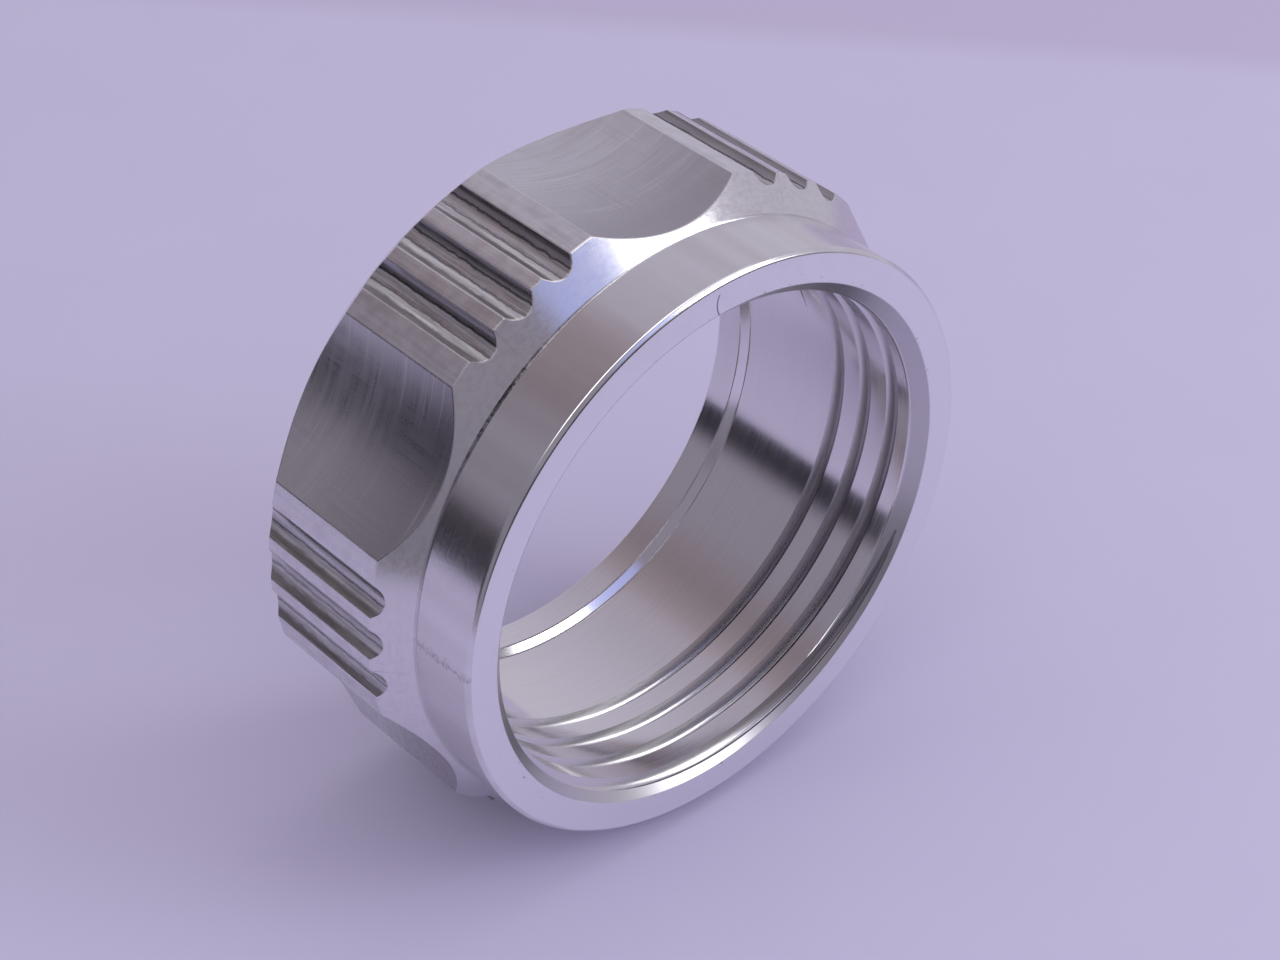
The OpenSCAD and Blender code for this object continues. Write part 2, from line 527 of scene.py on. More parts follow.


# %% [markdown]
# The spigot was turned and then rubbed down, so it is satin: fine marks run round it
# and blur what it mirrors, soft bands of handling run along it, and one dull scuff
# crosses it at the left. Painted shade darkens the undercut between spigot and chamfer.
# The marks are some hundredths of a millimetre apart in truth and are drawn at about
# a seventh of a millimetre, so that they are not lost between the pixels.

# %% Finish of the spigot: satin turned aluminium, soft and grey with a long grain
SCUFF_TURN, UNDERCUT_SHADE_TURN = math.radians(178.4), math.radians(132)
tree, shader, at_ring = begin("aluminium_turned_satin")
along = add(tree, "ShaderNodeVectorMath", {"operation": "MULTIPLY"}, {0: at_ring["hoop"], 1: (2.5, 6.0, 2.5)})
marks = add(tree, "ShaderNodeTexNoise", {}, {"Vector": along.outputs[0], "Scale": 1.0, "Detail": 2.0})
grain = add(tree, "ShaderNodeTexNoise", {}, {"Vector": at_ring["mm"], "Scale": 3.2, "Detail": 3.0})
both = add(tree, "ShaderNodeMath", {"operation": "ADD"}, {0: marks.outputs["Fac"], 1: grain.outputs["Fac"]})
dull = add(tree, "ShaderNodeMapRange", {}, {"Value": both.outputs[0], "From Min": 0.7, "From Max": 1.3,
                                            "To Min": 0.17, "To Max": 0.22})
relief = add(tree, "ShaderNodeBump", {}, {"Height": both.outputs[0], "Strength": 1.0, "Distance": 0.0000025})
bands = add(tree, "ShaderNodeVectorMath", {"operation": "MULTIPLY"},
            {0: at_ring["hoop"], 1: (7.0, 0.02, 7.0)})
hands = add(tree, "ShaderNodeTexNoise", {}, {"Vector": bands.outputs[0], "Scale": 1.0, "Detail": 2.0})
tone = add(tree, "ShaderNodeMapRange", {},
           {"Value": hands.outputs["Fac"], "From Min": 0.35, "From Max": 0.62})
metal = add(tree, "ShaderNodeMix", RGBA,
            {0: tone.outputs[0], 6: linear("#DDDADC"), 7: linear("#EBEAED")})
# The scuff is a speckled line along the spigot, far left
swing = add(tree, "ShaderNodeMath", {"operation": "SUBTRACT"}, {0: at_ring["turn"], 1: SCUFF_TURN})
away = add(tree, "ShaderNodeMath", {"operation": "ABSOLUTE"}, {0: swing.outputs[0]})
rag = add(tree, "ShaderNodeMath", {"operation": "MULTIPLY_ADD"},
          {0: grain.outputs["Fac"], 1: 0.09, 2: away.outputs[0]})
scuff = add(tree, "ShaderNodeMapRange", {}, {"Value": rag.outputs[0], "From Min": 0.038, "From Max": 0.062,
                                             "To Min": 0.35, "To Max": 0.0})
# Painted shade darkens the undercut, most of it at the upper left
foot = add(tree, "ShaderNodeMath", {"operation": "MULTIPLY_ADD"},
           {0: grain.outputs["Fac"], 1: 0.3, 2: at_ring["depth"]})
low = add(tree, "ShaderNodeMapRange", {},
          {"Value": foot.outputs[0], "From Min": SPIGOT_LEN - 0.02, "From Max": SPIGOT_LEN + 0.05})
upper = add(tree, "ShaderNodeMath", {"operation": "SUBTRACT"}, {0: at_ring["turn"], 1: UNDERCUT_SHADE_TURN})
near = add(tree, "ShaderNodeMath", {"operation": "ABSOLUTE"}, {0: upper.outputs[0]})
patch = add(tree, "ShaderNodeMath", {"operation": "MULTIPLY_ADD"},
            {0: grain.outputs["Fac"], 1: 0.6, 2: near.outputs[0]})
shade_amount = add(tree, "ShaderNodeMapRange", {}, {"Value": patch.outputs[0], "From Min": 0.3, "From Max": 0.55,
                                            "To Min": 0.95, "To Max": 0.2})
undercut_shade = add(tree, "ShaderNodeMath", {"operation": "MULTIPLY"}, {0: low.outputs[0], 1: shade_amount.outputs[0]})
most = add(tree, "ShaderNodeMath", {"operation": "MAXIMUM"}, {0: undercut_shade.outputs[0], 1: scuff.outputs[0]})
# One dark colour serves both the scuff, which is real wear, and the painted shade of the undercut
colour = add(tree, "ShaderNodeMix", RGBA,
             {0: most.outputs[0], 6: metal.outputs[2], 7: linear("#3B373B")})
join_up(tree, shader, colour.outputs[2], dull.outputs[0], relief.outputs[0])
print("spigot:", len(tree.nodes), "nodes")

# %% [markdown]
# The front was faced last with a sharp tool and is the brightest surface: nearly a
# mirror, with a faint cloudiness, tiny nicks by the inner edge and one thin curved
# scratch near the top. The nicks are noise that only its peaks pass; the scratch is a
# line of constant turn, bent a little with the radius.

# %% Finish of the ends: bright faced aluminium, a clear mirror with a few nicks
SCRATCH_TURN, SCRATCH_R, SCRATCH_HALF = math.radians(96), 24.5, 1.0
tree, shader, at_ring = begin("aluminium_faced_bright")
cloud = add(tree, "ShaderNodeTexNoise", {}, {"Vector": at_ring["mm"], "Scale": 0.45, "Detail": 3.0})
dull = add(tree, "ShaderNodeMapRange", {}, {"Value": cloud.outputs["Fac"], "From Min": 0.3, "From Max": 0.7,
                                            "To Min": 0.17, "To Max": 0.25})
grain = add(tree, "ShaderNodeTexNoise", {}, {"Vector": at_ring["mm"], "Scale": 2.6, "Detail": 2.0})
inner = add(tree, "ShaderNodeMapRange", {}, {"Value": at_ring["radius"], "From Min": 23.6, "From Max": 25.4,
                                             "To Min": 0.66, "To Max": 0.78})
peak = add(tree, "ShaderNodeMath", {"operation": "SUBTRACT"}, {0: grain.outputs["Fac"], 1: inner.outputs[0]})
nick = add(tree, "ShaderNodeMapRange", {}, {"Value": peak.outputs[0], "From Min": 0.0, "From Max": 0.04})
arc = add(tree, "ShaderNodeMath", {"operation": "SUBTRACT"}, {0: at_ring["radius"], 1: SCRATCH_R})
bend = add(tree, "ShaderNodeMath", {"operation": "MULTIPLY"}, {0: arc.outputs[0], 1: arc.outputs[0]})
swing = add(tree, "ShaderNodeMath", {"operation": "MULTIPLY_ADD"},
            {0: bend.outputs[0], 1: 0.011, 2: at_ring["turn"]})
line = add(tree, "ShaderNodeMath", {"operation": "SUBTRACT"}, {0: swing.outputs[0], 1: SCRATCH_TURN})
off = add(tree, "ShaderNodeMath", {"operation": "ABSOLUTE"}, {0: line.outputs[0]})
thin = add(tree, "ShaderNodeMapRange", {}, {"Value": off.outputs[0], "From Min": 0.0018, "From Max": 0.004,
                                            "To Min": 0.8, "To Max": 0.0})
short = add(tree, "ShaderNodeMath", {"operation": "COMPARE"},
            {0: at_ring["radius"], 1: SCRATCH_R, 2: SCRATCH_HALF})
scratch = add(tree, "ShaderNodeMath", {"operation": "MULTIPLY"}, {0: thin.outputs[0], 1: short.outputs[0]})
worn = add(tree, "ShaderNodeMath", {"operation": "MAXIMUM"}, {0: nick.outputs[0], 1: scratch.outputs[0]})
colour = add(tree, "ShaderNodeMix", RGBA,
             {0: worn.outputs[0], 6: linear("#F1F1F3"), 7: linear("#6E6A76")})
relief = add(tree, "ShaderNodeBump", {},
             {"Height": grain.outputs["Fac"], "Strength": 0.6, "Distance": 0.000004})
join_up(tree, shader, colour.outputs[2], dull.outputs[0], relief.outputs[0])
print("ends:", len(tree.nodes), "nodes")

# %% [markdown]
# The chamfers keep a coarser satin, as from fine emery held against the spinning
# ring: short curved scratches and bright specks. Noise stretched three to one round
# the axis gives them, in the roughness for the specks and in the relief for sparkle.

# %% Finish of the chamfers: emery satin, pale with a fine sparkle
tree, shader, at_ring = begin("aluminium_chamfer_satin")
along = add(tree, "ShaderNodeVectorMath", {"operation": "MULTIPLY"},
            {0: at_ring["hoop"], 1: (30.0, 3.5, 30.0)})
emery = add(tree, "ShaderNodeTexNoise", {},
            {"Vector": along.outputs[0], "Scale": 1.0, "Detail": 1.5, "Distortion": 0.6})
grain = add(tree, "ShaderNodeTexNoise", {}, {"Vector": at_ring["mm"], "Scale": 2.0, "Detail": 1.0})
both = add(tree, "ShaderNodeMath", {"operation": "ADD"}, {0: emery.outputs["Fac"], 1: grain.outputs["Fac"]})
dull = add(tree, "ShaderNodeMapRange", {}, {"Value": both.outputs[0], "From Min": 0.7, "From Max": 1.3,
                                            "To Min": 0.17, "To Max": 0.22})
relief = add(tree, "ShaderNodeBump", {}, {"Height": both.outputs[0], "Strength": 1.0, "Distance": 0.000001})
tone = add(tree, "ShaderNodeMapRange", {}, {"Value": both.outputs[0], "From Min": 0.75, "From Max": 1.1})
colour = add(tree, "ShaderNodeMix", RGBA,
             {0: tone.outputs[0], 6: linear("#DCDADD"), 7: linear("#E2E1E3")})
join_up(tree, shader, colour.outputs[2], dull.outputs[0], relief.outputs[0])
print("chamfers:", len(tree.nodes), "nodes")

# %% [markdown]
# The lands are what is left of the turned outside between the flutes. They were
# stroked lengthwise with a file, so their faint streaks run along the axis.

# %% Finish of the lands: filed satin, grey with faint lengthwise streaks
tree, shader, at_ring = begin("aluminium_turned_land")
along = add(tree, "ShaderNodeVectorMath", {"operation": "MULTIPLY"},
            {0: at_ring["long"], 1: (75.0, 0.12, 75.0)})
file_marks = add(tree, "ShaderNodeTexNoise", {}, {"Vector": along.outputs[0], "Scale": 1.0, "Detail": 1.0})
grain = add(tree, "ShaderNodeTexNoise", {}, {"Vector": at_ring["mm"], "Scale": 0.8, "Detail": 1.0})
both = add(tree, "ShaderNodeMath", {"operation": "ADD"},
           {0: file_marks.outputs["Fac"], 1: grain.outputs["Fac"]})
dull = add(tree, "ShaderNodeMapRange", {}, {"Value": both.outputs[0], "From Min": 0.7, "From Max": 1.3,
                                            "To Min": 0.22, "To Max": 0.3})
relief = add(tree, "ShaderNodeBump", {}, {"Height": both.outputs[0], "Strength": 1.0, "Distance": 0.0000015})
tone = add(tree, "ShaderNodeMapRange", {}, {"Value": both.outputs[0], "From Min": 0.75, "From Max": 1.15})
colour = add(tree, "ShaderNodeMix", RGBA,
             {0: tone.outputs[0], 6: linear("#D8D6D9"), 7: linear("#E6E5E9")})
join_up(tree, shader, colour.outputs[2], dull.outputs[0], relief.outputs[0])
print("lands:", len(tree.nodes), "nodes")

# %% [markdown]
# The scallops were milled and then rubbed by hand with an abrasive pad. The pad swings
# from the elbow, so its scratches are long arcs about a point behind the ring, and in
# other places they run straight along the ring. Place in a scallop is measured as
# the length round from its middle and the depth; a slow noise decides which of the
# two directions shows. Both are drawn some times coarser than the real scratches.

# %% Finish of the scallops: hand-rubbed satin, mid grey with crossing arcs
# The elbow: round from the start of a sector, and behind the front face, in millimetres
ELBOW_ROUND, ELBOW_DEPTH = 15.0, 48.0
tree, shader, at_ring = begin("aluminium_milled_scallop")
shift = add(tree, "ShaderNodeMath", {"operation": "ADD"}, {0: at_ring["turn"], 1: math.radians(4 * SECTOR)})
part = add(tree, "ShaderNodeMath", {"operation": "MODULO"}, {0: shift.outputs[0], 1: math.radians(SECTOR)})
span = add(tree, "ShaderNodeMath", {"operation": "MULTIPLY_ADD"},
           {0: part.outputs[0], 1: COLLAR_R, 2: -ELBOW_ROUND})
drop = add(tree, "ShaderNodeMath", {"operation": "ADD"}, {0: at_ring["depth"], 1: -ELBOW_DEPTH})
pad = add(tree, "ShaderNodeCombineXYZ", {}, {"X": span.outputs[0], "Y": drop.outputs[0]})
reach = add(tree, "ShaderNodeVectorMath", {"operation": "LENGTH"}, {0: pad.outputs[0]})
sweep = add(tree, "ShaderNodeMath", {"operation": "ARCTAN2"}, {0: drop.outputs[0], 1: span.outputs[0]})
polar = add(tree, "ShaderNodeCombineXYZ", {},
            {"X": reach.outputs["Value"], "Y": sweep.outputs[0], "Z": at_ring["turn"]})
swung = add(tree, "ShaderNodeVectorMath", {"operation": "MULTIPLY"},
            {0: polar.outputs[0], 1: (3.6, 3.0, 1.0)})
arcs = add(tree, "ShaderNodeTexNoise", {}, {"Vector": swung.outputs[0], "Scale": 1.0, "Detail": 1.0})
along = add(tree, "ShaderNodeVectorMath", {"operation": "MULTIPLY"},
            {0: at_ring["long"], 1: (90.0, 0.12, 90.0)})
straight = add(tree, "ShaderNodeTexNoise", {}, {"Vector": along.outputs[0], "Scale": 1.0, "Detail": 1.0})
slow = add(tree, "ShaderNodeTexNoise", {}, {"Vector": at_ring["mm"], "Scale": 0.12, "Detail": 1.0})
which = add(tree, "ShaderNodeMapRange", {}, {"Value": slow.outputs["Fac"], "From Min": 0.42, "From Max": 0.6})
rubbed = add(tree, "ShaderNodeMix", {},
             {0: which.outputs[0], 2: arcs.outputs["Fac"], 3: straight.outputs["Fac"]})
grain = add(tree, "ShaderNodeTexNoise", {}, {"Vector": at_ring["mm"], "Scale": 0.6, "Detail": 1.0})
both = add(tree, "ShaderNodeMath", {"operation": "MULTIPLY_ADD"},
           {0: grain.outputs["Fac"], 1: 0.4, 2: rubbed.outputs[0]})
dull = add(tree, "ShaderNodeMapRange", {}, {"Value": both.outputs[0], "From Min": 0.5, "From Max": 0.9,
                                            "To Min": 0.26, "To Max": 0.32})
relief = add(tree, "ShaderNodeBump", {}, {"Height": both.outputs[0], "Strength": 1.0, "Distance": 0.0000004})
tone = add(tree, "ShaderNodeMapRange", {}, {"Value": both.outputs[0], "From Min": 0.52, "From Max": 0.82})
metal = add(tree, "ShaderNodeMix", RGBA,
            {0: tone.outputs[0], 6: linear("#D1CFD3"), 7: linear("#D9D8DC")})
# The front part of a scallop is rubbed duller than its rear part
front = add(tree, "ShaderNodeMapRange", {}, {"Value": at_ring["depth"], "From Min": 9.0, "From Max": 19.0,
                                             "To Min": 0.95, "To Max": 0.0})
rub = add(tree, "ShaderNodeMix", RGBA,
          {0: front.outputs[0], 6: metal.outputs[2], 7: linear("#B3B0B5")})
# The deepest arcs are scratches, lightened by a painted glint
scratch_glint = add(tree, "ShaderNodeMapRange", {},
            {"Value": arcs.outputs["Fac"], "From Min": 0.65, "From Max": 0.76, "To Max": 0.32})
colour = add(tree, "ShaderNodeMix", RGBA,
             {0: scratch_glint.outputs[0], 6: rub.outputs[2], 7: linear("#F4F3F5")})
join_up(tree, shader, colour.outputs[2], dull.outputs[0], relief.outputs[0])
print("scallops:", len(tree.nodes), "nodes")

# %% [markdown]
# A flute is the width of one pass of a round cutter. The cutter chattered and dragged
# chips, so its lines run lengthwise, bright and dark, and a ragged dark line stands
# high on the clockwise wall, where the cutter left the metal. The place across a flute
# is the angle from its middle, folded with the step between flutes. A ramp across the
# flute lays the same order of lines in each: grey, bright, dark and pale.

# %% Finish of the flutes: dragged milling, streaked from pale to black
# In millimetres: the middle of the chips' jag, half the width of a flute, the ragged line
JAG_MID, HALF_WIDE, RAGGED_AT = 0.25, 1.47, 0.7
HALF_STEP = math.radians(FLUTE_STEP / 2)
tree, shader, at_ring = begin("aluminium_milled_flute")
shift = add(tree, "ShaderNodeMath", {"operation": "MULTIPLY_ADD"},
            {0: at_ring["turn"], 1: -1.0, 2: math.radians(4.5 * SECTOR)})
group = add(tree, "ShaderNodeMath", {"operation": "MODULO"}, {0: shift.outputs[0], 1: math.radians(SECTOR)})
mid = add(tree, "ShaderNodeMath", {"operation": "ADD"},
          {0: group.outputs[0], 1: math.radians((FLUTE_STEP - SECTOR) / 2)})
fold = add(tree, "ShaderNodeMath", {"operation": "WRAP"},
           {0: mid.outputs[0], 1: math.radians(FLUTE_STEP), 2: 0.0})
wide = add(tree, "ShaderNodeMath", {"operation": "MULTIPLY_ADD"},
           {0: fold.outputs[0], 1: COLLAR_R, 2: -HALF_STEP * COLLAR_R})
along = add(tree, "ShaderNodeVectorMath", {"operation": "MULTIPLY"},
            {0: at_ring["long"], 1: (120.0, 0.16, 120.0)})
drag = add(tree, "ShaderNodeTexNoise", {},
           {"Vector": along.outputs[0], "Scale": 1.0, "Detail": 3.0, "Roughness": 0.65})
chips = add(tree, "ShaderNodeTexNoise", {},
            {"Vector": at_ring["mm"], "Scale": 0.7, "Detail": 6.0, "Roughness": 0.7})
jag = add(tree, "ShaderNodeMath", {"operation": "MULTIPLY_ADD"},
          {0: chips.outputs["Fac"], 1: 0.5, 2: wide.outputs[0]})
edge = add(tree, "ShaderNodeMath", {"operation": "SUBTRACT"}, {0: jag.outputs[0], 1: JAG_MID + RAGGED_AT})
off = add(tree, "ShaderNodeMath", {"operation": "ABSOLUTE"}, {0: edge.outputs[0]})
ragged = add(tree, "ShaderNodeMapRange", {}, {"Value": off.outputs[0], "From Min": 0.04, "From Max": 0.14,
                                              "To Min": 0.85, "To Max": 0.0})
tone = add(tree, "ShaderNodeMapRange", {}, {"Value": drag.outputs["Fac"], "From Min": 0.36, "From Max": 0.62})
part = add(tree, "ShaderNodeMapRange", {},
           {"Value": jag.outputs[0], "From Min": JAG_MID - HALF_WIDE, "From Max": JAG_MID + HALF_WIDE})
lines = add(tree, "ShaderNodeValToRGB", {}, {"Fac": part.outputs[0]})
set_stops(lines, ((0.0, "#B6B3B4"), (0.05, "#A19E9F"), (0.14, "#A5A2A3"), (0.21, "#E8E7EA"),
                  (0.34, "#E0DFE2"), (0.385, "#858284"), (0.43, "#C0BEC0"), (0.5, "#DCDADC")))
streaks = add(tree, "ShaderNodeMix", RGBA,
              {0: tone.outputs[0], 6: linear("#D2D0D1"), 7: linear("#FFFFFF")})
streaked = add(tree, "ShaderNodeMix", {"data_type": "RGBA", "blend_type": "MULTIPLY"},
               {0: 1.0, 6: lines.outputs["Color"], 7: streaks.outputs[2]})
# Above the ragged line the clockwise wall is dull and dark
above = add(tree, "ShaderNodeMapRange", {},
            {"Value": edge.outputs[0], "From Min": -0.05, "From Max": 0.1, "To Max": 0.7})
metal = add(tree, "ShaderNodeMix", RGBA,
            {0: above.outputs[0], 6: streaked.outputs[2], 7: linear("#8F8B90")})
colour = add(tree, "ShaderNodeMix", RGBA,
             {0: ragged.outputs[0], 6: metal.outputs[2], 7: linear("#3A3738")})
both = add(tree, "ShaderNodeMath", {"operation": "MULTIPLY_ADD"},
           {0: chips.outputs["Fac"], 1: 0.5, 2: drag.outputs["Fac"]})
dull = add(tree, "ShaderNodeMapRange", {}, {"Value": both.outputs[0], "From Min": 0.5, "From Max": 1.0,
                                            "To Min": 0.22, "To Max": 0.36})
# The anticlockwise side, below the first dark line, was torn rather than cut
torn = add(tree, "ShaderNodeMapRange", {},
           {"Value": part.outputs[0], "From Min": 0.34, "From Max": 0.4, "To Min": 0.22, "To Max": 0.0})
rough = add(tree, "ShaderNodeMath", {"operation": "ADD"}, {0: dull.outputs[0], 1: torn.outputs[0]})
relief = add(tree, "ShaderNodeBump", {}, {"Height": both.outputs[0], "Strength": 1.0, "Distance": 0.000007})
join_up(tree, shader, colour.outputs[2], rough.outputs[0], relief.outputs[0])
print("flutes:", len(tree.nodes), "nodes")

# %% [markdown]
# Inside, the boring bar left a clean wall that mirrors the room almost sharply. The
# mouth was opened with a coarser tool and is duller. The thread is the same metal with
# a soft cut, and painted shade darkens its root, less of it at the left.

# %% Finish of the bore: smooth bored aluminium, clear with the faintest hoops
tree, shader, at_ring = begin("aluminium_bored")
along = add(tree, "ShaderNodeVectorMath", {"operation": "MULTIPLY"}, {0: at_ring["hoop"], 1: (2.0, 5.0, 2.0)})
marks = add(tree, "ShaderNodeTexNoise", {}, {"Vector": along.outputs[0], "Scale": 1.0, "Detail": 2.0})
dull = add(tree, "ShaderNodeMapRange", {}, {"Value": marks.outputs["Fac"], "From Min": 0.3, "From Max": 0.7,
                                            "To Min": 0.12, "To Max": 0.16})
mouth = add(tree, "ShaderNodeMapRange", {},
            {"Value": at_ring["radius"], "From Min": MINOR_R + 0.02, "From Max": MINOR_R + 0.15})
rough = add(tree, "ShaderNodeMix", {}, {0: mouth.outputs[0], 2: dull.outputs[0], 3: 0.3})
relief = add(tree, "ShaderNodeBump", {},
             {"Height": marks.outputs["Fac"], "Strength": 1.0, "Distance": 0.0000008})
tone = add(tree, "ShaderNodeMapRange", {}, {"Value": marks.outputs["Fac"], "From Min": 0.3, "From Max": 0.6})
wall = add(tree, "ShaderNodeMix", RGBA,
           {0: tone.outputs[0], 6: linear("#E8E6E9"), 7: linear("#ECEAED")})
colour = add(tree, "ShaderNodeMix", RGBA,
             {0: mouth.outputs[0], 6: wall.outputs[2], 7: linear("#C6C4C8")})
join_up(tree, shader, colour.outputs[2], rough.outputs[0], relief.outputs[0])

# %% Finish of the thread: cut groove, soft and grey, darkened at its root with painted shade
ROOT_SHADE_FROM, ROOT_SHADE_TO = math.radians(-62), math.radians(-85)
tree, shader, at_ring = begin("aluminium_cut_thread")
# Painted shade darkens the groove towards its root and fades out at the left
root = add(tree, "ShaderNodeMapRange", {},
           {"Value": at_ring["radius"], "From Min": MINOR_R + 0.2, "From Max": MINOR_R + ROOT})
shade_fades = add(tree, "ShaderNodeMapRange", {},
              {"Value": at_ring["turn"], "From Min": ROOT_SHADE_TO, "From Max": ROOT_SHADE_FROM, "To Min": 0.1})
root_shade = add(tree, "ShaderNodeMath", {"operation": "MULTIPLY"}, {0: root.outputs[0], 1: shade_fades.outputs[0]})
colour = add(tree, "ShaderNodeMix", RGBA,
             {0: root_shade.outputs[0], 6: linear("#DAD8DB"), 7: linear("#858187")})
shader.inputs["Roughness"].default_value = 0.24
tree.links.new(colour.outputs[2], shader.inputs["Base Color"])
print("bore and thread finished")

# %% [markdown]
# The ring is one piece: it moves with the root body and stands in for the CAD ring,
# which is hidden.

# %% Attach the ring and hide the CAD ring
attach(ring, "root")
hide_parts("lock_ring")

# %% [markdown]
# The ring stands on a sheet of pale lavender paper, which ends a little in front of
# the ring and to its left, outside the picture; the metal shows both edges. Behind the
# ring a second sheet, slightly darker, takes over; the photo has that edge out of
# focus, so it is drawn as a soft step of colour on one plane. Paper is matt, with a
# hardly visible cloudiness from its fibres.

# %% Floor
FAR_EDGE, NEAR_EDGE, LEFT_EDGE, RIGHT_EDGE = 0.7, 0.081, 0.2, 0.6
PAPER_TURN, STEP_TURN, STEP_AT, STEP_SOFT = math.radians(10), math.radians(46), 0.133, 0.004
bpy.ops.object.select_all(action="DESELECT")
bpy.ops.mesh.primitive_plane_add(size=1)
floor = bpy.context.object
floor.name = floor.data.name = "floor"
floor.scale = (RIGHT_EDGE + LEFT_EDGE, FAR_EDGE + NEAR_EDGE, 1)
floor.rotation_euler = (0, 0, -PAPER_TURN)
middle = Vector((RIGHT_EDGE - LEFT_EDGE, FAR_EDGE - NEAR_EDGE, 0)) / 2
floor.location = Matrix.Rotation(-PAPER_TURN, 3, "Z") @ middle
bpy.ops.object.transform_apply(location=True, rotation=True, scale=True)
paper = bpy.data.materials.new("lavender_paper_matt")
paper.use_nodes = True
tree = paper.node_tree
where = add(tree, "ShaderNodeTexCoord", {}, {})
fibre = add(tree, "ShaderNodeTexNoise", {}, {"Vector": where.outputs["Object"], "Scale": 60.0, "Detail": 4.0})
near = add(tree, "ShaderNodeMix", RGBA,
           {0: fibre.outputs["Fac"], 6: linear("#BAB3D5"), 7: linear("#BDB6D8")})
beyond = add(tree, "ShaderNodeVectorMath", {"operation": "DOT_PRODUCT"},
             {0: where.outputs["Object"], 1: (math.sin(STEP_TURN), math.cos(STEP_TURN), 0)})
step = add(tree, "ShaderNodeMapRange", {"interpolation_type": "SMOOTHSTEP"},
           {"Value": beyond.outputs["Value"],
            "From Min": STEP_AT - STEP_SOFT, "From Max": STEP_AT + STEP_SOFT})
colour = add(tree, "ShaderNodeMix", RGBA,
             {0: step.outputs[0], 6: near.outputs[2], 7: linear("#B4AACC")})
shader = tree.nodes["Principled BSDF"]
shader.inputs["Roughness"].default_value = 0.85
shader.inputs["Specular IOR Level"].default_value = 0.2
tree.links.new(colour.outputs[2], shader.inputs["Base Color"])
floor.data.materials.append(paper)
floor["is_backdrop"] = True
print("paper sheet", [round(v, 3) for v in floor.dimensions])

# %% [markdown]
# Bare metal shows the room. The photo's room is pale to the right, dim and a little
# purple to the left, and black along the horizon at the back left and in front, where
# the table ends. What the metal mirrors is built from the direction alone: one ramp
# from left to right, the dark band by height, and a pale strip of ceiling that only
# the broken edges catch. The paper is lit by a soft fill instead, which comes mostly
# from the front left and opens the shadow under the ring. The camera sees only the
# pale colour behind the paper.

# %% Room
# Compass directions in degrees, from +Y towards +X
PALE_SIDE, DARK_LEFT, DARK_FRONT, FILL_FROM = 75, -70, 170, 225
# The ceiling strip: how far in front of the ring's zenith, and how bright
STRIP_AHEAD, STRIP_LIGHT = 0.13, (2.2, 2.2, 2.2, 1.0)
FILL_FAR, FILL_NEAR = (0.42, 0.41, 0.4, 1.0), (1.12, 1.09, 1.07, 1.0)


def heading(azimuth):
    """Level unit vector of a compass direction in degrees."""
    return (math.sin(math.radians(azimuth)), math.cos(math.radians(azimuth)), 0)


world = bpy.data.worlds.new("studio")
bpy.context.scene.world = world
world.use_nodes = True
tree = world.node_tree
tree.nodes.clear()
way = add(tree, "ShaderNodeTexCoord", {}, {})
right = add(tree, "ShaderNodeVectorMath", {"operation": "DOT_PRODUCT"},
            {0: way.outputs["Generated"], 1: heading(PALE_SIDE)})
side = add(tree, "ShaderNodeMapRange", {},
           {"Value": right.outputs["Value"], "From Min": -1.0, "From Max": 1.0})
room = add(tree, "ShaderNodeValToRGB", {}, {"Fac": side.outputs["Result"]})
set_stops(room, ((0.0, "#86818F"), (0.15, "#8D8796"), (0.27, "#8C8693"), (0.41, "#84787F"),
                 (0.5, "#958990"), (0.58, "#ABA3AF"), (0.67, "#AFA8B5"), (0.8, "#BAB4C3"), (1.0, "#C8C3D1")))
height = add(tree, "ShaderNodeSeparateXYZ", {}, {0: way.outputs["Generated"]})
low = add(tree, "ShaderNodeMapRange", {"interpolation_type": "SMOOTHSTEP"},
          {"Value": height.outputs["Z"], "From Min": 0.06, "From Max": 0.23, "To Min": 1.0, "To Max": 0.0})
behind = add(tree, "ShaderNodeVectorMath", {"operation": "DOT_PRODUCT"},
             {0: way.outputs["Generated"], 1: heading(DARK_LEFT)})
left = add(tree, "ShaderNodeMapRange", {},
           {"Value": behind.outputs["Value"], "From Min": 0.4, "From Max": 0.75})
before = add(tree, "ShaderNodeVectorMath", {"operation": "DOT_PRODUCT"},
             {0: way.outputs["Generated"], 1: heading(DARK_FRONT)})
front = add(tree, "ShaderNodeMapRange", {},
            {"Value": before.outputs["Value"], "From Min": 0.6, "From Max": 0.85})
dark = add(tree, "ShaderNodeMath", {"operation": "MAXIMUM"}, {0: left.outputs[0], 1: front.outputs[0]})
band = add(tree, "ShaderNodeMath", {"operation": "MULTIPLY"}, {0: low.outputs[0], 1: dark.outputs[0]})
walls = add(tree, "ShaderNodeMix", RGBA,
            {0: band.outputs[0], 6: room.outputs["Color"], 7: linear("#2E2A33")})
# A pale strip of ceiling runs over the ring from side to side; only its edges mirror it
level = add(tree, "ShaderNodeMath", {"operation": "ADD"}, {0: height.outputs["Y"], 1: STRIP_AHEAD})
apart = add(tree, "ShaderNodeMath", {"operation": "ABSOLUTE"}, {0: level.outputs[0]})
narrow = add(tree, "ShaderNodeMapRange", {},
             {"Value": apart.outputs[0], "From Min": 0.12, "From Max": 0.22, "To Min": 1.0, "To Max": 0.0})
leftward = add(tree, "ShaderNodeMapRange", {},
               {"Value": height.outputs["X"], "From Min": 0.1, "From Max": 0.35,
                "To Min": 1.0, "To Max": 0.0})
above = add(tree, "ShaderNodeMapRange", {}, {"Value": height.outputs["Z"], "From Min": 0.62, "From Max": 0.8})
strip = add(tree, "ShaderNodeMath", {"operation": "MULTIPLY"}, {0: narrow.outputs[0], 1: leftward.outputs[0]})
ceiling = add(tree, "ShaderNodeMath", {"operation": "MULTIPLY"}, {0: strip.outputs[0], 1: above.outputs[0]})
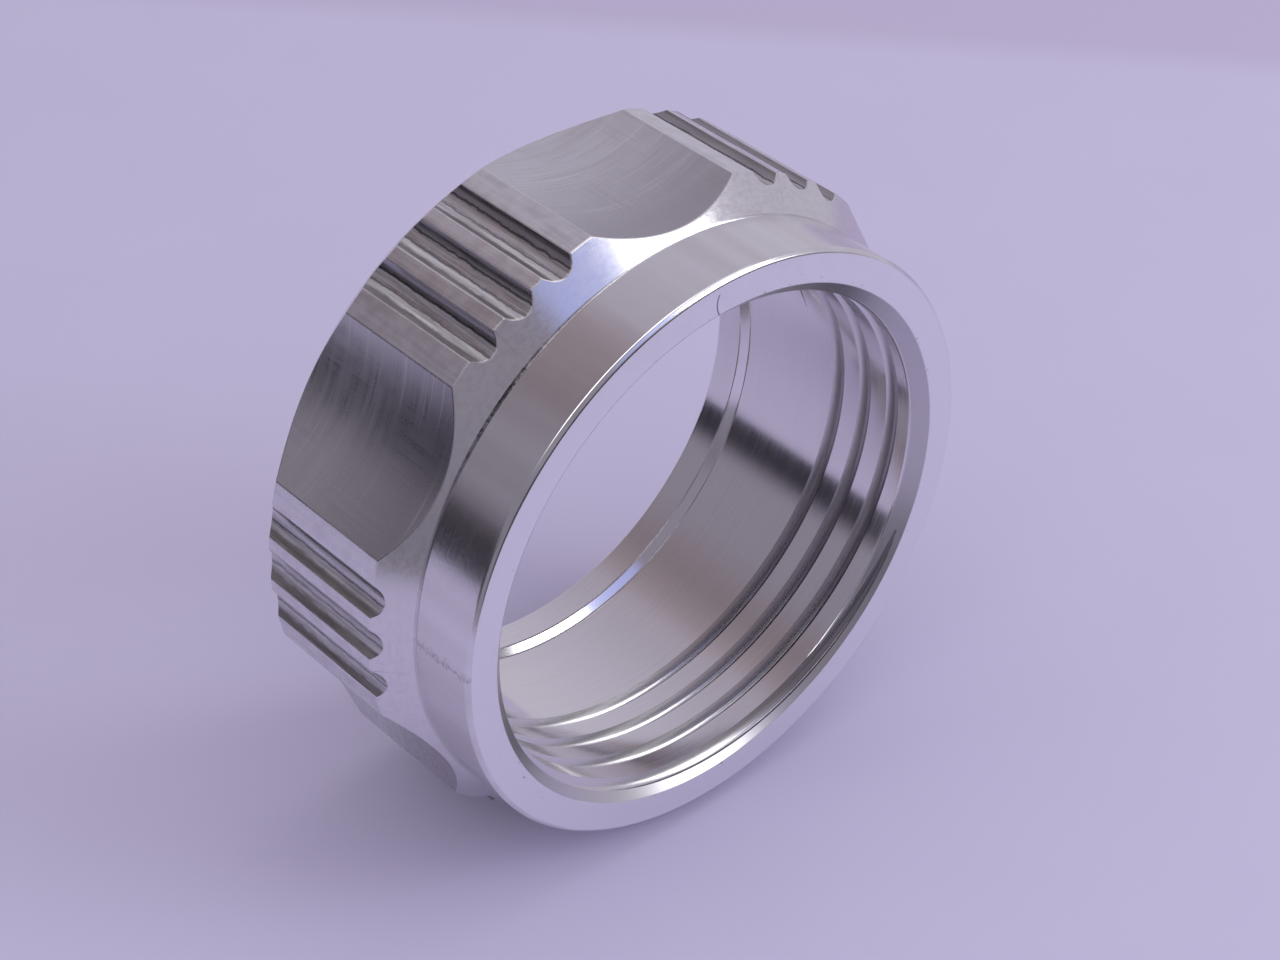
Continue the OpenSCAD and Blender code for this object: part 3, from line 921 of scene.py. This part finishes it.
lit = add(tree, "ShaderNodeMix", RGBA,
          {0: ceiling.outputs[0], 6: walls.outputs[2], 7: STRIP_LIGHT})
path = add(tree, "ShaderNodeLightPath", {}, {})
near = add(tree, "ShaderNodeVectorMath", {"operation": "DOT_PRODUCT"},
           {0: way.outputs["Generated"], 1: heading(FILL_FROM)})
toward = add(tree, "ShaderNodeMapRange", {},
             {"Value": near.outputs["Value"], "From Min": -1.0, "From Max": 1.0})
soft = add(tree, "ShaderNodeMix", RGBA, {0: toward.outputs[0], 6: FILL_FAR, 7: FILL_NEAR})
fill = add(tree, "ShaderNodeMix", RGBA,
           {0: path.outputs["Is Glossy Ray"], 6: soft.outputs[2], 7: lit.outputs[2]})
seen = add(tree, "ShaderNodeMix", RGBA,
           {0: path.outputs["Is Camera Ray"], 6: fill.outputs[2], 7: linear("#B4AACC")})
glow = add(tree, "ShaderNodeBackground", {}, {"Color": seen.outputs[2], "Strength": 1.0})
add(tree, "ShaderNodeOutputWorld", {}, {"Surface": glow.outputs["Background"]})

# %% [markdown]
# Three soft lights do the rest. A tall window to the right of the camera is what the
# white highlights mirror, with a patch of blue sky beside it. A broad soft key, high
# at the right, lays the soft shadow to the left; it stands too high to be seen in the
# ring. A light's power is worked out from how bright its face should look.

# %% Lights


def softbox(name, azimuth, elevation, distance, width, height, radiance):
    """An area light that looks at the ring; its power follows from the brightness of its face."""
    a, e = math.radians(azimuth), math.radians(elevation)
    way = Vector((math.sin(a) * math.cos(e), math.cos(a) * math.cos(e), math.sin(e)))
    lamp = bpy.data.lights.new(name, "AREA")
    lamp.shape, lamp.size, lamp.size_y = "RECTANGLE", width, height
    lamp.energy = radiance * math.pi * width * height
    holder = bpy.data.objects.new(name, lamp)
    bpy.context.scene.collection.objects.link(holder)
    holder.location = AXIS_POINT + way * distance
    holder.rotation_euler = way.to_track_quat("Z", "Y").to_euler()
    return lamp


softbox("window", 141, 28, 0.6, 0.26, 0.4, 3.6)
softbox("sky", 171, 43, 0.6, 0.27, 0.15, 0.75).color = linear("#A0B8FF")[:3]
softbox("key", 95, 70, 0.7, 0.5, 0.5, 0.7)

# %% [markdown]
# The camera was found from the photo: the edges of the ring's circles were matched
# with its sizes until all of them fell in place. It looks down from the front left
# with a long lens.

# %% Camera
lens = bpy.data.cameras.new("camera")
lens.sensor_width, lens.lens = 36.0, 78.615
lens.clip_start, lens.clip_end = 0.01, 10
camera = bpy.data.objects.new("camera", lens)
bpy.context.scene.collection.objects.link(camera)
camera.location = (-0.12578, -0.13475, 0.16659)
camera.rotation_mode = "QUATERNION"
camera.rotation_quaternion = (Matrix.Rotation(math.radians(-43.396), 3, "Z")
                              @ Matrix.Rotation(math.radians(53.112), 3, "X")
                              @ Matrix.Rotation(math.radians(2.401), 3, "Z")).to_quaternion()
bpy.context.scene.camera = camera
bpy.context.scene.view_settings.view_transform = "Standard"

# %% [markdown]
# Last, the box of the finished ring is printed.

# %% Finish
low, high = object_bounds()
print("visual box in mm:", [round(1000 * v, 2) for v in (*low, *high)])
